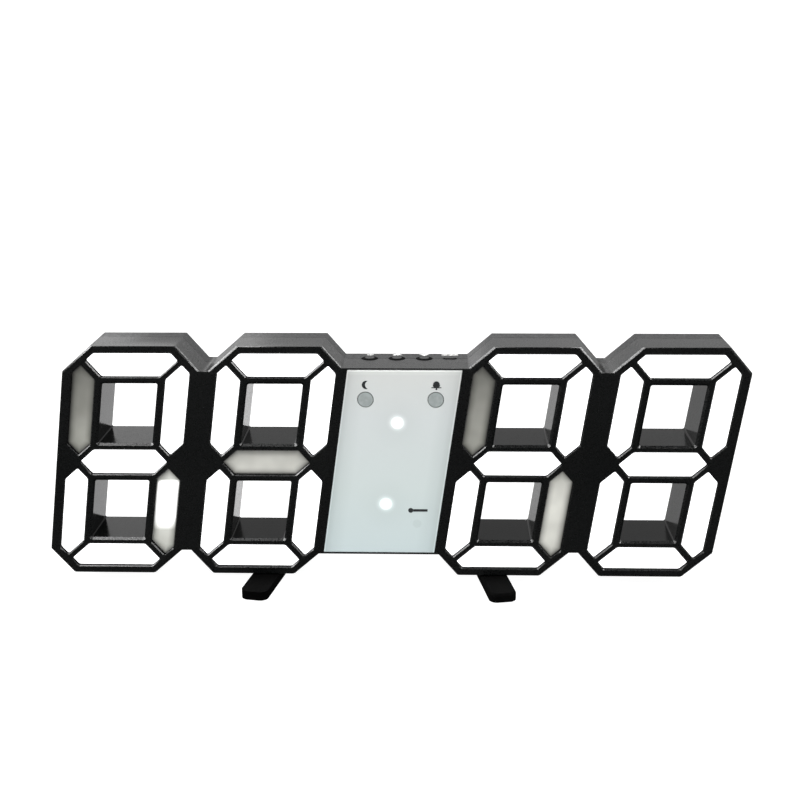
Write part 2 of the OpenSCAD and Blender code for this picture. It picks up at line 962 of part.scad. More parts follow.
front_frame();
rear_cover();
face_panel();
panel_light_box();
indicator_light_pipes();
colon_light_pipes();
diffusers(0);  // digit_1_diffusers
diffusers(1);  // digit_2_diffusers
diffusers(2);  // digit_3_diffusers
diffusers(3);  // digit_4_diffusers
reflector(0);  // digit_1_reflector
reflector(1);  // digit_2_reflector
reflector(2);  // digit_3_reflector
reflector(3);  // digit_4_reflector
digit_board(0);  // digit_1_board
digit_board(1);  // digit_2_board
digit_board(2);  // digit_3_board
digit_board(3);  // digit_4_board
leds(0);  // digit_1_leds
leds(1);  // digit_2_leds
leds(2);  // digit_3_leds
leds(3);  // digit_4_leds
main_board();
main_board_leds();
clock_chip();
crystal();
buzzer();
thermistor();
power_jack();
cell_holder();
cell_contact();
coin_cell();
battery_door();
link_sockets();
board_links();
switch_housings();
button(0);  // set_button
button(1);  // up_button
button(2);  // down_button
button(3);  // mode_button
plunger(0);  // set_plunger
plunger(1);  // up_plunger
plunger(2);  // down_plunger
plunger(3);  // mode_plunger
case_screws();
board_screws();
at_left_foot() foot();  // left_foot
at_right_foot() foot();  // right_foot
at_left_foot() foot_pads();  // left_foot_pads
at_right_foot() foot_pads();  // right_foot_pads
foot_screws();
foot_washers();
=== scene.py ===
"""Looks of the digital clock: four open digits, a milky panel, push buttons and swivel feet."""

import json
import math

import bmesh
import bpy
from mathutils import Matrix, Vector

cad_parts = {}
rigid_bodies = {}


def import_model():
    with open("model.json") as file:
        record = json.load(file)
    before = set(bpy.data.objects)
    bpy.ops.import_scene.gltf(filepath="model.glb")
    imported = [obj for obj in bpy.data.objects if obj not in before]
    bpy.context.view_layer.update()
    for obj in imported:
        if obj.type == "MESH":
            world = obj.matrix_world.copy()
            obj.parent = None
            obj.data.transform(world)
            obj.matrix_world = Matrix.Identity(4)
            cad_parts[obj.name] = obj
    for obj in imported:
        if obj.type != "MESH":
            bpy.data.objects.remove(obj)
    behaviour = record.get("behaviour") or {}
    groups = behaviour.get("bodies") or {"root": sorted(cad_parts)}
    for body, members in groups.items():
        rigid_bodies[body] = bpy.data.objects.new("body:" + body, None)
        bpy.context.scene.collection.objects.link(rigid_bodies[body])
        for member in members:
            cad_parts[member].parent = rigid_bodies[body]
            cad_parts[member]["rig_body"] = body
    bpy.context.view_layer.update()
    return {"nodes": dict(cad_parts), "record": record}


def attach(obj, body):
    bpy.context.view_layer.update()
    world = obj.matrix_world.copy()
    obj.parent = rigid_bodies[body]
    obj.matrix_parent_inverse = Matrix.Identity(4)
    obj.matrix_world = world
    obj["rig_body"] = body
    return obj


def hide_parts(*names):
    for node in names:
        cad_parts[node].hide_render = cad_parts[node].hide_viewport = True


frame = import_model()
nodes = frame["nodes"]

# Sizes of the solids, in millimetres. x and z count from the middle of the digits, and y from
# the middle of the depth
MM = 0.001
SLANT = math.tan(math.radians(8))
MID_Z = 40.2
FRONT_Y = -9.25
PLATE_BACK = -7.85
SEAM_Y = 2.75
BACK_Y = 9.25

# Digits
DIGIT_X = (-82.6, -38.5, 38.5, 82.6)
HALF_W = 20.75
HALF_H = 36.8
CORNER_CUT = 7.8
CUT_LINE = HALF_W + HALF_H - CORNER_CUT
SHOULDER = HALF_H - CORNER_CUT
HOLE_HALF_W = 8.4
HOLE_LOW = 6.05
HOLE_HIGH = 25.05
SIDE_OUT = 17.9
END_OUT = 34.5
RIM_WIDTH = 1.0
KEYHOLE_HALF_W = 4

# Centre body, panel, buttons and feet
CENTRE_TOP = 30.2
CENTRE_BOTTOM = 29.9
PANEL_Y = -9.15
PANEL_HALF_W = 17.3
PANEL_TOP = 29.65
PANEL_BOTTOM = 29.35
COLON_Z = 13.107
COLON_R = 1.8
HALO_R = 9.0
INDICATOR_X = 10.6
LOW_DOT_Z = 19.6
FOOT_TOP = 3.1
MARK_Y = 7.3

# Rounds and chamfers, in millimetres
CORNER_ROUND = {"window": 0.4, "hole": 0.55, "panel": 0.3}
FRONT_CHAMFER = {"window": 0.3, "hole": 0.7, "panel": 0.15, "rim": 0.16, "shoulder": 0.55}
BACK_CHAMFER = {"keyhole": 0.1, "broad": 0.5, "fine": 0.15}
SEAM_CHAMFER = {"outside": 0.12, "inside": 0.01}

# Nearness in millimetres, except for SAME, which is in metres
NEAR = 0.06
WELD = 0.002
CUT_SLACK = 0.001
SLANTED = 2
SAME = 1e-6

# Angles between faces, and how far a direction may be from another
FLAT_ANGLE = math.radians(0.4)
CORNER_ANGLE = math.radians(20)
EDGE_ANGLE = math.radians(30)
SHARP_ANGLE = math.radians(32)
CAP_TOP_ANGLE = math.radians(6)
FACING = 0.99
IN_WALL = 0.3
PARALLEL = 0.9999

# Middles of the segments of a digit: top, upper right, lower right, bottom, lower left,
# upper left and middle
SEGMENTS = ((0, 30.8), (14.3, 15.5), (14.3, -15.5), (0, -30.8), (-14.3, -15.5), (-14.3, 15.5),
            (0, 0))
LOWER_RIGHT, UPPER_LEFT, MIDDLE = 2, 5, 6


def upright(point):
    """A point in metres as (x, height above the middle) in millimetres, with the lean taken out."""
    z = point.z / MM - MID_Z
    return point.x / MM - SLANT * z, z


def leaned(x, z, y):
    """A place in metres from an upright x, a height above the middle and a depth in millimetres."""
    return Vector((x + SLANT * z, y, MID_Z + z)) * MM


# Materials

def linear(colour):
    """An sRGB hex colour as linear RGBA; a number as that grey."""
    if not isinstance(colour, str):
        return [colour, colour, colour, 1.0]
    parts = [int(colour[i:i + 2], 16) / 255 for i in (1, 3, 5)]
    return [p / 12.92 if p <= 0.04045 else ((p + 0.055) / 1.055) ** 2.4 for p in parts] + [1.0]


def feed(node, inputs):
    """Links or fills the inputs of a node."""
    for socket, value in inputs.items():
        if isinstance(value, bpy.types.NodeSocket):
            node.id_data.links.new(value, node.inputs[socket])
        else:
            node.inputs[socket].default_value = value


def add(tree, kind, inputs=None, stops=(), out=0, **settings):
    """Adds a node with its settings, links and colour stops, and returns one of its outputs.

    A ramp has two stops from the start. They take the first two, lower one first; the others
    come in any order.
    """
    node = tree.nodes.new(kind)
    for name, value in settings.items():
        setattr(node, name, value)
    for i, (position, colour) in enumerate(stops):
        element = node.color_ramp.elements[i] if i < 2 else node.color_ramp.elements.new(position)
        element.position, element.color = position, linear(colour)
    feed(node, inputs or {})
    return node.outputs[out]


def new_material(name, inputs):
    """A material, its node tree, its shader and the object coordinates that its patterns use."""
    mat = bpy.data.materials.new(name)
    mat.use_nodes = True
    tree = mat.node_tree
    shader = tree.nodes["Principled BSDF"]
    feed(shader, inputs)
    return mat, tree, shader, add(tree, "ShaderNodeTexCoord", out="Object")


def moulded_plastic(name, dark, light, grain_mm, rough, depth_mm, gloss):
    """Injection-moulded plastic: its spark-eroded grain breaks the gloss into fine speckle.

    A real grain is about 0.1 mm wide. It is drawn several times coarser, so that it shows.
    """
    mat, tree, shader, spot = new_material(name, {"IOR": 1.46, "Specular IOR Level": gloss})
    fine = add(tree, "ShaderNodeTexNoise", {
        "Vector": spot, "Scale": 1 / (grain_mm * MM), "Detail": 2.0})
    broad = add(tree, "ShaderNodeTexNoise", {
        "Vector": spot, "Scale": 1 / (30 * MM), "Detail": 1.0})
    feed(shader, {
        "Base Color": add(tree, "ShaderNodeValToRGB", {"Fac": broad}, [(0.3, dark), (0.7, light)]),
        "Roughness": add(tree, "ShaderNodeValToRGB", {"Fac": fine}, [
            (0.3, rough - 0.08), (0.7, rough + 0.1)]),
        "Normal": add(tree, "ShaderNodeBump", {"Height": fine, "Distance": depth_mm * MM}),
    })
    return mat


# Satin black ABS: nearly swallows light met straight on, grey and speckled at a low angle
SHELL = moulded_plastic("satin_black_abs", "#050606", "#090a0a", 0.5, 0.3, 0.02, 0.5)
# Walls of the windows: left dull by the mould, so the light behind doesn't shine along them
WELL = moulded_plastic("dull_black_abs", "#060606", "#090909", 0.5, 0.75, 0.02, 0.06)
# Walls of the see-through holes: smooth from the mould's cores, so they mirror darkly and crisply
TUNNEL = moulded_plastic("core_drawn_black_abs", "#050606", "#090a0a", 0.5, 0.15, 0.004, 0.07)
# The rear cover has a coarser grain than the front, so it looks duller
COVER = moulded_plastic("grained_black_abs", "#0c0d0d", "#111213", 0.6, 0.36, 0.03, 0.5)
# Button caps: finer in grain than the shell, so their tops are as grey as the face round them
CAP = moulded_plastic("handled_black_abs", "#030303", "#060606", 0.4, 0.3, 0.015, 0.4)
# Feet: nylon with a dull skin, almost without shine
FOOT = moulded_plastic("dull_black_nylon", "#040404", "#070707", 0.5, 0.5, 0.015, 0.006)
# Rubber: matt, slightly dusty grey
RUBBER = moulded_plastic("matt_black_rubber", "#1a1a1a", "#242424", 0.5, 0.85, 0.03, 0.2)
# White ABS of the reflectors and the light box: pale cream, half matt
WHITE_ABS = moulded_plastic("moulded_white_abs", "#e4e3dc", "#f0efe8", 0.8, 0.5, 0.01, 0.5)
# Black epoxy and nylon of the components: dark grey, faintly grained
COMPONENT = moulded_plastic("moulded_black_epoxy", "#18191a", "#222324", 0.3, 0.55, 0.01, 0.4)
# Cream nylon of the cable sockets: warm and smooth
CREAM = moulded_plastic("moulded_cream_nylon", "#ddd8c6", "#e8e4d4", 0.5, 0.45, 0.01, 0.4)


def panel_dimming(tree, spot, across):
    """How the panel's colour dims: painted shade at its sides, and in a disc over the hidden pipe.
    """
    to_pipe = add(tree, "ShaderNodeVectorMath", {
        0: spot, 1: leaned(INDICATOR_X, -LOW_DOT_Z, PANEL_Y)}, out="Value", operation="DISTANCE")
    veil = add(tree, "ShaderNodeMapRange", {
        "Value": to_pipe, "From Min": 1.5 * MM, "From Max": 1.2 * MM, "To Min": 1.0, "To Max": 0.93})
    # Painted shade: the backlight falls off towards the panel's sides
    sides = add(tree, "ShaderNodeValToRGB", {"Fac": across}, [
        (0.01, 0.8), (0.99, 0.8), (0.07, 0.92), (0.18, 1.0), (0.82, 1.0), (0.93, 0.92)])
    return add(tree, "ShaderNodeMath", {0: veil, 1: sides}, operation="MULTIPLY")


def panel_glow(tree, spot, across, level):
    """How strongly the panel glows: in a disc and a halo over each colon light, and in a rim."""
    to_colon = [add(tree, "ShaderNodeVectorMath", {0: spot, 1: leaned(0, z, PANEL_Y)},
                    out="Value", operation="DISTANCE") for z in (COLON_Z, -COLON_Z)]
    nearest = add(tree, "ShaderNodeMath", {0: to_colon[0], 1: to_colon[1]}, operation="MINIMUM")
    halo = add(tree, "ShaderNodeMapRange", {
        "Value": nearest, "From Min": HALO_R * MM, "From Max": COLON_R * MM})
    glow = add(tree, "ShaderNodeValToRGB", {"Fac": halo}, [
        (0.0, 0.06), (1.0, 1.0), (0.78, 0.02), (0.87, 0.09), (0.95, 0.32)])
    side_rim = add(tree, "ShaderNodeValToRGB", {"Fac": across}, [
        (0.008, 0.55), (0.992, 0.55), (0.018, 0.0), (0.982, 0.0)])
    top_rim = add(tree, "ShaderNodeValToRGB", {"Fac": level}, [
        (0.965, 0.0), (0.994, 0.8), (0.982, 0.16), (0.989, 0.08)])
    rim = add(tree, "ShaderNodeMath", {0: side_rim, 1: top_rim}, operation="MAXIMUM")
    return add(tree, "ShaderNodeMath", {0: glow, 1: rim}, operation="MAXIMUM")


def acrylic_panel():
    """Milky cast acrylic lit from behind: cool white, and brightest over the two colon lights.

    It is warmer at the top and cooler and bluer low down, where a painted reflection colours
    it, and it dims a little towards its sides, as painted shade where the backlight falls off.
    The light that leaks out round it makes a fine bright rim.
    """
    mat, tree, shader, spot = new_material("milky_acrylic_panel", {
        "IOR": 1.49, "Roughness": 0.2, "Specular IOR Level": 0.3})
    height = add(tree, "ShaderNodeSeparateXYZ", {"Vector": spot}, out="Z")
    level = add(tree, "ShaderNodeMapRange", {
        "Value": height,
        "From Min": (MID_Z - PANEL_BOTTOM) * MM, "From Max": (MID_Z + PANEL_TOP) * MM})
    upright_x = add(tree, "ShaderNodeVectorMath", {0: spot, 1: (1, 0, -SLANT)},
                    out="Value", operation="DOT_PRODUCT")
    middle = -SLANT * MID_Z
    across = add(tree, "ShaderNodeMapRange", {
        "Value": upright_x,
        "From Min": (middle - PANEL_HALF_W) * MM, "From Max": (middle + PANEL_HALF_W) * MM})
    # Painted reflection: the colour turns cooler and bluer towards the bottom of the panel
    tint_and_reflection = add(tree, "ShaderNodeValToRGB", {"Fac": level}, [
        (0.0, "#adb9ba"), (0.35, "#b0b9b8"), (0.75, "#b2b7b7"), (1.0, "#b3b5b3")])
    dimming = panel_dimming(tree, spot, across)
    colour = add(tree, "ShaderNodeVectorMath", {0: tint_and_reflection, "Scale": dimming}, operation="SCALE")
    haze = add(tree, "ShaderNodeTexNoise", {"Vector": spot, "Scale": 1 / (6 * MM), "Detail": 3.0})
    feed(shader, {
        "Base Color": colour,
        "Emission Color": colour,
        "Emission Strength": panel_glow(tree, spot, across, level),
        "Normal": add(tree, "ShaderNodeBump", {"Height": haze, "Distance": 0.01 * MM}),
    })
    return mat


def lit_sheet():
    """Milky polycarbonate before a lamp: an even, bright white, a trace cooler in places."""
    mat, tree, shader, spot = new_material("lit_milky_polycarbonate", {
        "IOR": 1.58, "Roughness": 0.4, "Emission Strength": 1.35})
    cloud = add(tree, "ShaderNodeTexNoise", {"Vector": spot, "Scale": 1 / (5 * MM), "Detail": 2.0})
    feed(shader, {
        "Base Color": add(tree, "ShaderNodeValToRGB", {"Fac": cloud}, [
            (0.3, "#e4e6e6"), (0.7, "#f0f1f1")]),
        "Emission Color": add(tree, "ShaderNodeValToRGB", {"Fac": cloud}, [
            (0.3, "#fbfcfd"), (0.7, "#ffffff")]),
    })
    return mat


def unlit_sheet(name, base, glow, reach):
    """The same sheet with its lamp off: clouded, darker at its edges with painted shade from the
    window walls, and lit by its neighbours.

    reach gives how much of their light arrives, from 30 mm below the middle to 30 mm above it.
    """
    mat, tree, shader, spot = new_material(name, {
        "IOR": 1.58, "Roughness": 0.35, "Specular IOR Level": 0.3, "Emission Strength": 1.0})
    depth = add(tree, "ShaderNodeAttribute", out="Fac", attribute_name="shade")
    noise = add(tree, "ShaderNodeTexNoise", {"Vector": spot, "Scale": 1 / (7 * MM), "Detail": 1.0})
    cloud = add(tree, "ShaderNodeMapRange", {"Value": noise, "To Min": 0.3, "To Max": 0.75})
    height = add(tree, "ShaderNodeSeparateXYZ", {"Vector": spot}, out="Z")
    level = add(tree, "ShaderNodeMapRange", {
        "Value": height, "From Min": (MID_Z - 30) * MM, "From Max": (MID_Z + 30) * MM})
    arriving = add(tree, "ShaderNodeValToRGB", {"Fac": level}, reach)
    # Painted shade: the edges darken where the window walls shade the sheet
    cloud_and_edge_shade = add(tree, "ShaderNodeMath", {0: depth, 1: cloud}, operation="MULTIPLY")
    lit = add(tree, "ShaderNodeMath", {0: cloud_and_edge_shade, 1: arriving}, operation="MULTIPLY")
    feed(shader, {
        "Base Color": add(tree, "ShaderNodeValToRGB", {"Fac": cloud_and_edge_shade}, base),
        "Emission Color": add(tree, "ShaderNodeValToRGB", {"Fac": lit}, glow),
    })
    return mat


def frosted_rod(name, dark, light, strength, rim):
    """Frosted acrylic rod: clouded, with a faint glow from its lamp and a darker rim of painted
    shade.
    """
    mat, tree, shader, spot = new_material(name, {
        "IOR": 1.49, "Roughness": 0.3, "Emission Strength": strength})
    cloud = add(tree, "ShaderNodeTexNoise", {
        "Vector": spot, "Scale": 1 / (1.5 * MM), "Detail": 2.0})
    to_middle = add(tree, "ShaderNodeAttribute", out="Fac", attribute_name="shade")
    colour = add(tree, "ShaderNodeMix", {
        "Factor": add(tree, "ShaderNodeValToRGB", {"Fac": to_middle}, [(0.0, 0.0), (0.2, 1.0)]),
        "A": linear(rim),
        "B": add(tree, "ShaderNodeValToRGB", {"Fac": cloud}, [(0.3, dark), (0.7, light)]),
    }, out=2, data_type="RGBA")
    feed(shader, {"Base Color": colour, "Emission Color": colour})
    return mat


def solder_mask():
    """Glass-epoxy board under green solder mask: glossy, with the weave just showing."""
    mat, tree, shader, spot = new_material("green_solder_mask", {"IOR": 1.5, "Roughness": 0.28})
    weave = add(tree, "ShaderNodeTexWave", {
        "Vector": spot, "Scale": 1 / (1.2 * MM), "Distortion": 1.0}, out="Fac")
    feed(shader, {
        "Base Color": add(tree, "ShaderNodeValToRGB", {"Fac": weave}, [
            (0.2, "#12452c"), (0.8, "#1c6340")]),
        "Normal": add(tree, "ShaderNodeBump", {"Height": weave, "Distance": 0.02 * MM}),
    })
    return mat


def bright_metal(name, dark, light, rough):
    """Plated steel or rolled brass: a fine pitting breaks the reflection."""
    mat, tree, shader, spot = new_material(name, {"Metallic": 1.0})
    pits = add(tree, "ShaderNodeTexNoise", {"Vector": spot, "Scale": 1 / (0.4 * MM), "Detail": 3.0})
    feed(shader, {
        "Base Color": add(tree, "ShaderNodeValToRGB", {"Fac": pits}, [(0.3, dark), (0.7, light)]),
        "Roughness": add(tree, "ShaderNodeValToRGB", {"Fac": pits}, [
            (0.3, rough - 0.05), (0.7, rough + 0.1)]),
        "Normal": add(tree, "ShaderNodeBump", {"Height": pits, "Distance": 0.01 * MM}),
    })
    return mat


def flat_cable():
    """Flat flexible cable: pale film with the tinned strips showing as fine grey lines."""
    mat, tree, shader, spot = new_material("flat_cable_film", {"IOR": 1.55, "Roughness": 0.35})
    lines = add(tree, "ShaderNodeTexWave", {"Vector": spot, "Scale": 1 / (3.2 * MM)},
                out="Fac", bands_direction="Z")
    feed(shader, {"Base Color": add(tree, "ShaderNodeValToRGB", {"Fac": lines}, [
        (0.35, "#b9b8ae"), (0.5, "#e0dccb")])})
    return mat


def lamp_phosphor():
    """White lamp: yellow phosphor gel in a pale package."""
    mat, tree, shader, spot = new_material("yellow_phosphor_gel", {
        "IOR": 1.5, "Roughness": 0.3, "Emission Strength": 0.4})
    cloud = add(tree, "ShaderNodeTexNoise", {
        "Vector": spot, "Scale": 1 / (0.8 * MM), "Detail": 2.0})
    colour = add(tree, "ShaderNodeValToRGB", {"Fac": cloud}, [(0.3, "#f2dc8a"), (0.7, "#fff3c8")])
    feed(shader, {"Base Color": colour, "Emission Color": colour})
    return mat


def printed_ink(name, colour, thin):
    """Pad-printed ink: flat, with thin places where the grain shows through."""
    mat, tree, shader, spot = new_material(name, {"IOR": 1.5, "Roughness": 0.6})
    cover = add(tree, "ShaderNodeTexNoise", {
        "Vector": spot, "Scale": 1 / (0.6 * MM), "Detail": 2.0})
    feed(shader, {"Base Color": add(tree, "ShaderNodeValToRGB", {"Fac": cover}, [
        (0.35, thin), (0.55, colour)])})
    return mat


PANEL = acrylic_panel()
LIT = lit_sheet()
# Lamp off: dark grey-green milk, lightest where the neighbours' light reaches it
DARK = unlit_sheet(
    "unlit_milky_polycarbonate",
    base=[(0.0, "#3a3a38"), (0.3, "#6b6b65"), (0.6, "#80807a")],
    glow=[(0.0, "#000000"), (0.6, "#62625d")],
    reach=[(0.6, 1.0), (0.92, 0.0)])
# Lamp off between lit neighbours: pale grey milk, its paleness painted light from them
GREY = unlit_sheet(
    "dim_milky_polycarbonate",
    base=[(0.0, "#555552"), (0.3, "#93938e"), (0.6, "#aeaea8")],
    glow=[(0.0, "#000000"), (0.1, "#4c4c48"), (0.6, "#90908a")],
    reach=[(0.33, 1.0), (0.58, 0.0)])
# Lamps part on: glows white, and falls off to grey milk at its foot, pale with painted light
HALF_LIT = unlit_sheet(
    "half_lit_milky_polycarbonate",
    base=[(0.0, "#6a6b68"), (0.3, "#a8a9a2"), (0.6, "#c8c9c2")],
    glow=[(0.02, "#1c1c1b"), (0.25, "#ffffff")],
    reach=[(0.117, 0.0), (0.38, 1.0), (0.195, 1.0), (0.4, 0.1)])
# The rods' darker rim colour is painted shade of the gap round each end
INDICATOR = frosted_rod("frosted_grey_rod", "#7e8584", "#8d9392", 0.03, "#5a5f5e")
COLON = frosted_rod("frosted_white_rod", "#f4f8fa", "#ffffff", 1.0, "#e8ecee")
BOARD = solder_mask()
STEEL = bright_metal("plated_steel", "#8f9296", "#b4b7ba", 0.28)
BRASS = bright_metal("spring_brass", "#b08d3e", "#d9b45c", 0.25)
CABLE = flat_cable()
PHOSPHOR = lamp_phosphor()
DARK_INK = printed_ink("near_black_ink", "#17191a", "#26292b")
WHITE_INK = printed_ink("white_ink", "#f4f4f2", "#dcdcda")

SLOT_FINISH = {
    "shell_black": SHELL, "panel_white": PANEL, "box_white": WHITE_ABS, "light_pipe": INDICATOR,
    "diffuser_milky": LIT, "board_green": BOARD, "lamp_white": PHOSPHOR, "part_black": COMPONENT,
    "metal_bright": STEEL, "contact_brass": BRASS, "socket_cream": CREAM, "cable_white": CABLE,
    "button_black": CAP, "pad_rubber": RUBBER,
}

# What a diffuser can show, and which diffusers of each digit aren't fully lit
SHEETS = [LIT, DARK, GREY, HALF_LIT]
NOT_LIT = {
    1: {LOWER_RIGHT: HALF_LIT, UPPER_LEFT: DARK},
    2: {MIDDLE: GREY},
    3: {LOWER_RIGHT: GREY, UPPER_LEFT: DARK},
    4: {},
}


# Copies of the CAD nodes

def node_body(name):
    return nodes[name]["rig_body"]


def node_slot(name):
    for part in frame["record"]["subparts"]:
        if part["node"] == name:
            return part["material_slot"]


def merged_copy(name):
    """A bmesh of a node with its loose triangles joined and its flat faces made whole."""
    bm = bmesh.new()
    bm.from_mesh(nodes[name].data)
    bmesh.ops.remove_doubles(bm, verts=bm.verts, dist=WELD * MM)
    bmesh.ops.dissolve_limit(bm, angle_limit=FLAT_ANGLE, verts=bm.verts, edges=bm.edges)
    return bm


def bevel(bm, edges, size, segments):
    """Rounds the edges. size is in millimetres."""
    edges = [e for e in edges if e.is_valid]
    if edges:
        bmesh.ops.bevel(bm, geom=edges, offset=size * MM, offset_type="OFFSET", segments=segments,
                        profile=0.5, affect="EDGES", material=-1, clamp_overlap=True)
    bm.normal_update()


def finish_piece(name, bm, materials, body, replaced=()):
    """Makes the bmesh a piece that rides on a body, with smooth rounds and crisp flats."""
    mesh = bpy.data.meshes.new(name)
    bm.normal_update()
    bm.to_mesh(mesh)
    bm.free()
    mesh.shade_smooth()
    mesh.set_sharp_from_angle(angle=SHARP_ANGLE)
    piece = bpy.data.objects.new(name, mesh)
    bpy.context.scene.collection.objects.link(piece)
    for mat in materials:
        mesh.materials.append(mat)
    level = piece.modifiers.new("even_normals", "WEIGHTED_NORMAL")
    level.keep_sharp = True
    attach(piece, body)
    if replaced:
        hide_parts(*replaced)


def along_y(edge, y):
    """True for an edge that runs straight back from the plane y, in millimetres."""
    a, b = (v.co for v in edge.verts)
    if abs(a.x - b.x) > SAME or abs(a.z - b.z) > SAME:
        return False
    return abs(a.y / MM - y) < NEAR / 2 or abs(b.y / MM - y) < NEAR / 2


def lies_in(element, y):
    """True for an edge or face that lies in the plane y, in millimetres."""
    return all(abs(v.co.y / MM - y) < NEAR / 2 for v in element.verts)


def middle_of(edge):
    return (edge.verts[0].co + edge.verts[1].co) / 2


def corners_behind(bm, y):
    """The corner edges that run straight back from the plane y."""
    return [e for e in bm.edges if along_y(e, y) and e.calc_face_angle(0) > CORNER_ANGLE]


def open_plane(bm, y):
    """Takes out the flat face in the plane y and leaves its outlines open."""
    bmesh.ops.delete(bm, geom=[f for f in bm.faces if lies_in(f, y)], context="FACES_KEEP_BOUNDARY")


def corner_move(walls, depth):
    """How a corner point at a depth moves in where two walls meet.

    A wall is its outward normal and the size of its chamfer. Depth and size are in millimetres.
    """
    (first, a), (last, b) = ((normal, max(0, size - depth) * MM) for normal, size in walls)
    turn = first.dot(last)
    if turn > PARALLEL:
        return (first + last) * (-(a + b) / 4)
    return (first * (a - b * turn) + last * (b - a * turn)) / (turn * turn - 1)


def point_behind(point, inward):
    """The next point of a corner edge, straight behind this one."""
    for edge in point.link_edges:
        step = edge.other_vert(point).co - point.co
        if abs(step.x) < SAME and abs(step.z) < SAME and step.y * inward > 0:
            return edge.other_vert(point)


def cut_walls(bm, y, inward, outline):
    """Cuts the walls behind the outlines where their chamfers end."""
    for size in set(outline.values()):
        walls = {f for e in outline if outline[e] == size for f in e.link_faces}
        around = {part for f in walls for part in f.edges[:] + f.verts[:]}
        bmesh.ops.bisect_plane(bm, geom=list(walls | around), dist=CUT_SLACK * MM,
                               plane_co=(0, (y + inward * size) * MM, 0), plane_no=(0, 1, 0))
    bm.normal_update()


def close_plane(bm, y, inward, size_of):
    """Chamfers the open outlines in the plane y and fills them with a flat face.

    size_of(edge) is the chamfer's size in millimetres. inward is 1 or -1, the way into the
    material along Y.
    """
    outline = {e: size_of(e) for e in bm.edges if e.is_boundary and lies_in(e, y)}
    cut_walls(bm, y, inward, outline)
    moves = {}
    for corner in {v for e in outline for v in e.verts}:
        walls = [(e.link_faces[0].normal.copy(), outline[e])
                 for e in corner.link_edges if e in outline]
        point, depth = corner, 0
        while point and depth < max(size for normal, size in walls) - NEAR / 10:
            moves[point] = corner_move(walls, depth)
            point = point_behind(point, inward)
            depth = abs(point.co.y / MM - y) if point else 0
    for point, move in moves.items():
        point.co += move
    fill = bmesh.ops.triangle_fill(bm, use_beauty=True, use_dissolve=False, edges=list(outline),
                                   normal=(0, -inward, 0))
    bm.normal_update()
    for face in fill["geom"]:
        if isinstance(face, bmesh.types.BMFace) and face.normal.y * inward > 0:
            face.normal_flip()
    bm.normal_update()


def part_of_face(edge):
    """Which outline of the front or back face an edge belongs to: hole, window, panel or rim."""
    x, z = upright(middle_of(edge))
    for digit in DIGIT_X:
        u, v = abs(x - digit), abs(z)
        if u < HOLE_HALF_W + NEAR and HOLE_LOW - NEAR < v < HOLE_HIGH + NEAR:
            return "hole"
        if u < SIDE_OUT + NEAR and v < END_OUT + NEAR and u + v < CUT_LINE - RIM_WIDTH:
            return "window"
    if abs(x) < PANEL_HALF_W + NEAR and -PANEL_BOTTOM - NEAR < z < PANEL_TOP + NEAR:
        return "panel"
    return "rim"


def near_silhouette(edge):
    """True for an edge on the outer outline of the body."""
    x, z = upright(middle_of(edge))
    on_digit = any(
        abs(abs(x - digit) - HALF_W) < NEAR or abs(abs(z) - HALF_H) < NEAR
        or abs(abs(x - digit) + abs(z) - CUT_LINE) < 2 * NEAR for digit in DIGIT_X)
    levels = (CENTRE_TOP, -CENTRE_BOTTOM, SHOULDER, -SHOULDER)
    return on_digit or any(abs(z - level) < NEAR for level in levels)


def front_chamfer(edge):
    """The chamfer's size on the front: broad at the holes and the shoulders, fine elsewhere."""
    part = part_of_face(edge)
    if part == "rim":
        ends = [upright(v.co) for v in edge.verts]
        if abs(ends[0][0] - ends[1][0]) > SLANTED and abs(ends[0][1] - ends[1][1]) > SLANTED:
            part = "shoulder"
    return FRONT_CHAMFER[part]


def back_chamfer(edge):
    """The chamfer's size on the back: broad at the holes and outline, finest at the keyholes."""
    x, z = upright(middle_of(edge))
    over_hole = HOLE_HIGH + NEAR < z < HALF_H - RIM_WIDTH
    if over_hole and min(abs(x - DIGIT_X[0]), abs(x - DIGIT_X[3])) < KEYHOLE_HALF_W:
        return BACK_CHAMFER["keyhole"]
    broad = part_of_face(edge) == "hole" or near_silhouette(edge)
    return BACK_CHAMFER["broad" if broad else "fine"]


def seam_chamfer(edge):
    """The chamfer at the parting line: a fine groove outside, and next to none inside."""
    return SEAM_CHAMFER["outside" if near_silhouette(edge) else "inside"]


def front_shell():
    """The front frame: round window and hole corners, chamfered lips and dull window walls."""
    finishes = [SHELL, WELL, TUNNEL]
    bm = merged_copy("front_frame")
    open_plane(bm, FRONT_Y)
    corners = corners_behind(bm, FRONT_Y)
    parts = {e: part_of_face(e) for e in corners}
    for part, size in CORNER_ROUND.items():
        bevel(bm, [e for e in corners if parts[e] == part], size, 3)
    close_plane(bm, FRONT_Y, 1, front_chamfer)
    open_plane(bm, SEAM_Y)
    close_plane(bm, SEAM_Y, -1, seam_chamfer)
    for face in bm.faces:
        part = part_of_face(face.edges[0])
        wall = abs(face.normal.y) < IN_WALL
        if part == "window" and wall and face.calc_center_median().y < PLATE_BACK * MM:
            face.material_index = finishes.index(WELL)
        elif part == "hole" and wall:
            face.material_index = finishes.index(TUNNEL)
    finish_piece("front_shell", bm, finishes, "clock_body", ["front_frame"])


def rear_shell():
    """The rear cover: round hole corners, a chamfered back edge and a fine groove at the seam."""
    finishes = [COVER, TUNNEL]
    bm = merged_copy("rear_cover")
    open_plane(bm, BACK_Y)
    corners = [e for e in corners_behind(bm, BACK_Y) if part_of_face(e) == "hole"]
    bevel(bm, corners, CORNER_ROUND["hole"], 3)
    close_plane(bm, BACK_Y, -1, back_chamfer)
    open_plane(bm, SEAM_Y)
    close_plane(bm, SEAM_Y, 1, seam_chamfer)
    for face in bm.faces:
        in_hole = part_of_face(face.edges[0]) == "hole" and abs(face.normal.y) < IN_WALL
        face.material_index = finishes.index(TUNNEL if in_hole else COVER)
    finish_piece("rear_shell", bm, finishes, "clock_body", ["rear_cover"])


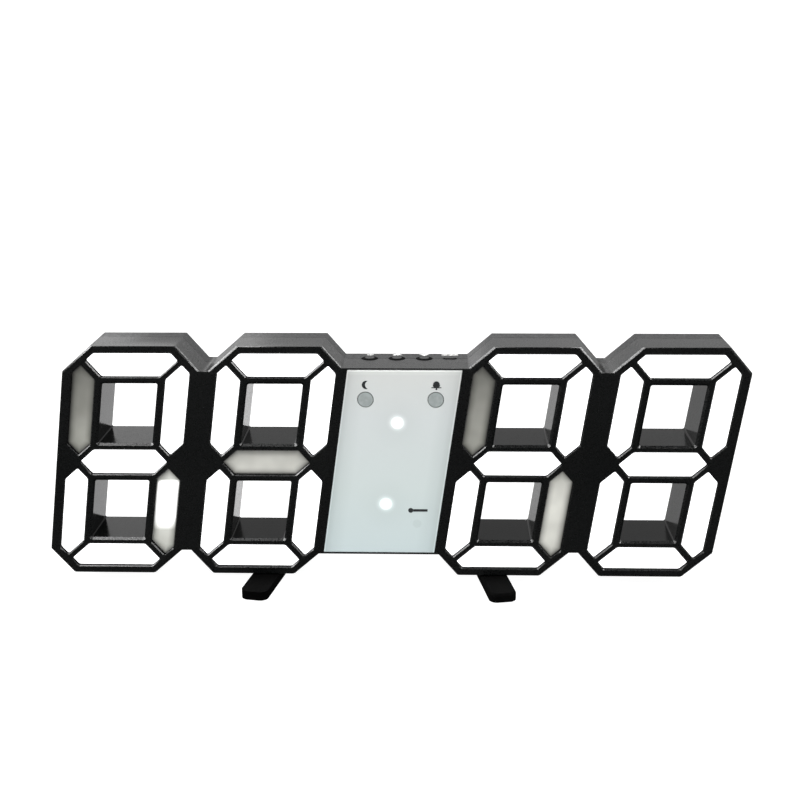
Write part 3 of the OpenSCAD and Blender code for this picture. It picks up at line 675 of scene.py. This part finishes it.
def edge_shading(bm, steps):
    """Steps each front face inwards, and writes on each step how far in it counts, from 0 to 1."""
    # The materials darken the outer steps with it, as painted shade at the edges
    layer = bm.verts.layers.float.new("shade")
    fronts = [f for f in bm.faces if f.normal.y < -FACING]
    for width, shade in steps:
        bmesh.ops.inset_individual(bm, faces=fronts, thickness=width * MM, depth=0,
                                   use_even_offset=True)
        for face in fronts:
            for v in face.verts:
                v[layer] = shade


def island(seed):
    """All faces joined to a face."""
    found, ahead = {seed}, [seed]
    while ahead:
        for edge in ahead.pop().edges:
            for face in edge.link_faces:
                if face not in found:
                    found.add(face)
                    ahead.append(face)
    return found


def digit_diffusers(number, not_lit):
    """The seven diffusers of a digit; not_lit says what those show that aren't fully lit."""
    name = f"digit_{number}_diffusers"
    bm = merged_copy(name)
    left = set(bm.faces)
    while left:
        faces = island(next(iter(left)))
        left -= faces
        points = [v.co for f in faces for v in f.verts]
        x, z = upright(sum(points, Vector()) / len(points))
        x -= DIGIT_X[number - 1]
        near = min(range(len(SEGMENTS)), key=lambda i: math.dist(SEGMENTS[i], (x, z)))
        for face in faces:
            face.material_index = SHEETS.index(not_lit.get(near, LIT))
    # Painted shade round the edges of each sheet, where the window walls shade it
    edge_shading(bm, ((0.5, 0.0), (0.6, 0.45), (0.8, 0.8), (0.8, 1.0)))
    sheets = f"digit_{number}_light_sheets"
    finish_piece(sheets, bm, SHEETS, "clock_body", [name])


def indicator_rods():
    """The light pipes of the indicators, with a fine ring of painted shade round each end."""
    name = "indicator_light_pipes"
    bm = merged_copy(name)
    edge_shading(bm, ((0.08, 0.0), (0.12, 0.1), (0.12, 1.0)))
    finish_piece("indicator_rods", bm, [INDICATOR], "clock_body", [name])


def on_foot_top(edge):
    """True for the upper outline of a foot bar."""
    return all(abs(v.co.z / MM - FOOT_TOP) < NEAR for v in edge.verts)


def dressed(node, name, material, size, segments, keep=lambda edge: True):
    """A copy of a node as a piece of its own, with its sharp edges rounded."""
    bm = merged_copy(node)
    sharp = [e for e in bm.edges
             if len(e.link_faces) == 2 and e.calc_face_angle(0) > EDGE_ANGLE and keep(e)]
    bevel(bm, sharp, size, segments)
    finish_piece(name, bm, [material], node_body(node), [node])


def domed_cap(button, rise, reach, rings=8):
    """A button cap whose top swells from the level of the face round it.

    The top shines. The slope round it is dull and looks black.
    """
    finishes = [CAP, WELL]
    name = f"{button}_button"
    bm = merged_copy(name)
    top = max(v.co.z for v in bm.verts)
    crown = [f for f in bm.faces
             if f.normal.z > FACING and f.calc_center_median().z > top - NEAR * MM]
    for ring in range(rings):
        drop = rise * (1 - ring / rings) ** 2
        for v in crown[0].verts:
            v.co.z = top - drop * MM
        bmesh.ops.inset_individual(bm, faces=crown, thickness=reach * MM / (rings + 1),
                                   use_even_offset=True)
    for v in crown[0].verts:
        v.co.z = top
    bm.normal_update()
    for face in bm.faces:
        on_top = face.normal.z > math.cos(CAP_TOP_ANGLE)
        face.material_index = finishes.index(CAP if on_top else WELL)
    finish_piece(f"{button}_cap", bm, finishes, node_body(name), [name])


front_shell()
rear_shell()
for number, not_lit in NOT_LIT.items():
    digit_diffusers(number, not_lit)
dressed("face_panel", "milky_panel", PANEL, size=0.2, segments=2)
indicator_rods()
for foot in ("left_foot", "right_foot"):
    dressed(foot, f"{foot}_bar", FOOT, size=0.8, segments=4, keep=on_foot_top)
for button in ("set", "up", "down"):
    domed_cap(button, rise=0.3, reach=1.7)
domed_cap("mode", rise=0.2, reach=0.8)
dressed("battery_door", "battery_cover", COVER, size=0.3, segments=2)

for name, node in nodes.items():
    node.data.materials.clear()
    node.data.materials.append(SLOT_FINISH[node_slot(name)])
nodes["colon_light_pipes"].data.materials[0] = COLON


# Prints: flat shapes drawn round the middle of a mark, then put in place

PRINT_THICK = 0.03
PRINT_SINK = 0.005


def rotate_all(bm, degrees, axis):
    """Turns a whole bmesh about an axis through the origin."""
    bmesh.ops.rotate(bm, verts=bm.verts, cent=(0, 0, 0),
                     matrix=Matrix.Rotation(math.radians(degrees), 3, axis))


def flat_print(name, bm, where, on_top=False):
    """A print from flat faces: white on the top face, or dark and upright on the panel."""
    solid = bmesh.ops.extrude_face_region(bm, geom=bm.faces[:])
    raised = [g for g in solid["geom"] if isinstance(g, bmesh.types.BMVert)]
    bmesh.ops.translate(bm, verts=raised, vec=(0, 0, PRINT_THICK * MM))
    if not on_top:
        rotate_all(bm, 90, "X")
    bmesh.ops.translate(bm, verts=bm.verts, vec=where)
    bmesh.ops.recalc_face_normals(bm, faces=bm.faces)
    ink, slot = (WHITE_INK, "cable_white") if on_top else (DARK_INK, "part_black")
    finish_piece(name, bm, [ink], "clock_body")


def disc(bm, radius, segments, x=0.0, y=0.0):
    """A flat disc, in millimetres."""
    bmesh.ops.create_circle(bm, cap_ends=True, radius=radius * MM, segments=segments,
                            matrix=Matrix.Translation((x * MM, y * MM, 0)))


def bar(bm, width, height, x=0.0, y=0.0):
    """A flat rectangle, in millimetres."""
    place = Matrix.Translation((x * MM, y * MM, 0)) @ Matrix.Diagonal((width, height, 1, 1))
    bmesh.ops.create_grid(bm, x_segments=1, y_segments=1, size=0.5 * MM, matrix=place)


def crescent_moon(bm):
    """A disc whose right side is folded back into a hollow."""
    disc(bm, 1.3, 48)
    for v in bm.verts:
        if v.co.x > 0.5 * MM:
            v.co.x = 1.0 * MM - v.co.x


def bell(bm):
    """A round dome that widens downwards, a rim bar and a clapper."""
    disc(bm, 1.0, 32)
    for v in bm.verts:
        if v.co.y < 0:
            v.co.x *= 1 + 0.45 * min(1, -v.co.y / MM)
            v.co.y = max(v.co.y, -0.85 * MM)
    bar(bm, 3.0, 0.3, y=-1.0)
    disc(bm, 0.3, 16, y=-1.45)


def thermometer(bm):
    """A bulb and a stem, lying down."""
    disc(bm, 0.8, 24, x=-2.1)
    bar(bm, 4.4, 0.8, x=0.9)


def ring_mark(bm):
    """A ring round a dot."""
    disc(bm, 1.0, 32)
    inner = bmesh.ops.inset_individual(bm, faces=bm.faces[:], thickness=0.3 * MM)
    core = [f for f in bm.faces if f not in inner["faces"]]
    bmesh.ops.inset_individual(bm, faces=core, thickness=0.35 * MM)
    gap = [f for f in bm.faces if f not in inner["faces"] and f not in core]
    bmesh.ops.delete(bm, geom=gap, context="FACES")


def arrow_mark(bm, turn):
    """A broad arrowhead, turned by degrees."""
    disc(bm, 1.1, 3)
    rotate_all(bm, turn, "Z")
    bmesh.ops.scale(bm, vec=(1.7, 1, 1), verts=bm.verts)


def bars_mark(bm):
    """Three thin bars."""
    for y in (-0.75, 0, 0.75):
        bar(bm, 5.2, 0.28, y=y)


def panel_marks():
    """Dark marks: a moon and a bell over the indicators, and a thermometer over the hidden pipe."""
    marks = (("moon_mark", -11.0, 25.0, crescent_moon), ("bell_mark", 10.1, 25.2, bell),
             ("thermometer_mark", 10.1, -15.2, thermometer))
    for name, x, z, draw in marks:
        bm = bmesh.new()
        draw(bm)
        flat_print(name, bm, leaned(x, z, PANEL_Y + PRINT_SINK))


def button_marks():
    """White marks behind the buttons: a ring, an arrow up, an arrow down and three bars."""
    marks = (("ring_mark", -11.2, ring_mark), ("up_mark", -2.8, lambda bm: arrow_mark(bm, 0)),
             ("down_mark", 5.6, lambda bm: arrow_mark(bm, 180)), ("bars_mark", 13.5, bars_mark))
    for name, x, draw in marks:
        bm = bmesh.new()
        draw(bm)
        where = Vector((x + SLANT * CENTRE_TOP, MARK_Y, MID_Z + CENTRE_TOP - PRINT_SINK)) * MM
        flat_print(name, bm, where, on_top=True)


panel_marks()
button_marks()


# Room, lights and camera, in metres

def stage_piece(name, size, where, turn_x, material):
    """A flat sheet of the room, lying unless it is turned about X."""
    bm = bmesh.new()
    bmesh.ops.create_grid(bm, x_segments=1, y_segments=1, size=0.5)
    bmesh.ops.scale(bm, vec=(size[0], size[1], 1), verts=bm.verts)
    rotate_all(bm, turn_x, "X")
    bmesh.ops.translate(bm, verts=bm.verts, vec=where)
    mesh = bpy.data.meshes.new(name)
    bm.to_mesh(mesh)
    bm.free()
    mesh.materials.append(material)
    piece = bpy.data.objects.new(name, mesh)
    bpy.context.scene.collection.objects.link(piece)
    return piece


def studio_paper(name, strength):
    """Pale background paper, lit so evenly that no shadow falls on it."""
    return new_material(name, {
        "Base Color": linear("#808080"), "Roughness": 0.9, "Specular IOR Level": 0.1,
        "Emission Color": linear("#ffffff"), "Emission Strength": strength})[0]


def reflector(name, size, where, strength, turn_x=90):
    """A paper card that only the clock's gloss sees, upright unless turn_x says otherwise."""
    card = stage_piece(name, size, where, turn_x, studio_paper(f"{name}_paper", strength))
    card.visible_camera = card.visible_diffuse = card.visible_shadow = False


def softbox(name, where, size, power):
    """A rectangular studio lamp that is aimed at the clock."""
    light = bpy.data.lights.new(name, "AREA")
    light.shape = "RECTANGLE"
    light.size, light.size_y = size
    light.energy = power
    lamp = bpy.data.objects.new(name, light)
    lamp.location = where
    aim = Vector((0, 0, 0.04)) - Vector(where)
    lamp.rotation_euler = aim.to_track_quat("-Z", "Y").to_euler()
    bpy.context.scene.collection.objects.link(lamp)


def room():
    """Floor and backdrop are white to the camera; the gloss sees a dark room and dimmer cards."""
    floor_paper = studio_paper("pale_floor", 0.98)
    near_floor = stage_piece("near_floor", (6, 3.015), (0, -1.4925, 0), 0, floor_paper)
    near_floor.visible_glossy = False
    stage_piece("far_floor", (6, 3), (0, 1.515, 0), 0, floor_paper)
    backdrop_paper = studio_paper("pale_backdrop", 1.0)
    backdrop = stage_piece("backdrop", (6, 1.5), (0, 2.2, 0.75), 90, backdrop_paper)
    backdrop.visible_glossy = False
    reflector("rear_card", (6, 1.5), (0, 2.23, 0.75), 0.54)
    reflector("upper_left_card", (2.5, 1.0), (-1.76, 2.19, 1.02), 1.75)
    reflector("right_card", (2.4, 1.5), (1.9, 2.19, 0.75), 0.22)
    reflector("right_floor_card", (0.62, 1.5), (0.295, 0.77, 0.0005), 0.35, turn_x=0)
    softbox("top_softbox", (-0.42, -0.2, 0.66), (0.5, 0.18), 6)
    softbox("left_softbox", (-0.7, -0.12, 0.44), (0.35, 0.3), 7.5)
    softbox("right_softbox", (0.6, -0.22, 0.55), (0.42, 0.22), 6.5)
    softbox("front_fill", (0.0, -0.9, 0.95), (0.9, 0.4), 2.0)


def room_light():
    """A white world for the camera that lights the clock only faintly."""
    world = bpy.data.worlds.new("studio")
    bpy.context.scene.world = world
    world.use_nodes = True
    tree = world.node_tree
    background = tree.nodes["Background"]
    seen = add(tree, "ShaderNodeLightPath", out="Is Camera Ray")
    strength = add(tree, "ShaderNodeMapRange", {"Value": seen, "To Min": 0.07, "To Max": 1.0})
    feed(background, {"Color": linear("#ffffff"), "Strength": strength})


def photo_camera():
    """The photograph's camera: 56 mm lens, 16.35 degrees down, a little right of the middle."""
    focal_pixels, frame_pixels, sensor_mm = 1244.2, 800, 36
    place = (0.01399, -0.36853, 0.16598)
    pitch, yaw, roll = (math.radians(a) for a in (16.345, -1.8, -0.27))
    ahead = Vector((math.sin(yaw) * math.cos(pitch), math.cos(yaw) * math.cos(pitch),
                    -math.sin(pitch)))
    right = Vector((math.cos(yaw), -math.sin(yaw), 0))
    up = right.cross(ahead)
    turned = right * math.cos(roll) + up * math.sin(roll)
    up = up * math.cos(roll) - right * math.sin(roll)
    data = bpy.data.cameras.new("photo_camera")
    data.sensor_width = sensor_mm
    data.lens = focal_pixels * sensor_mm / frame_pixels
    data.clip_start = 0.01
    camera = bpy.data.objects.new("photo_camera", data)
    turn = Matrix((turned, up, -ahead)).transposed()
    camera.matrix_world = Matrix.Translation(place) @ turn.to_4x4()
    bpy.context.scene.collection.objects.link(camera)
    bpy.context.scene.camera = camera


room()
room_light()
photo_camera()
bpy.context.scene.view_settings.view_transform = "Standard"
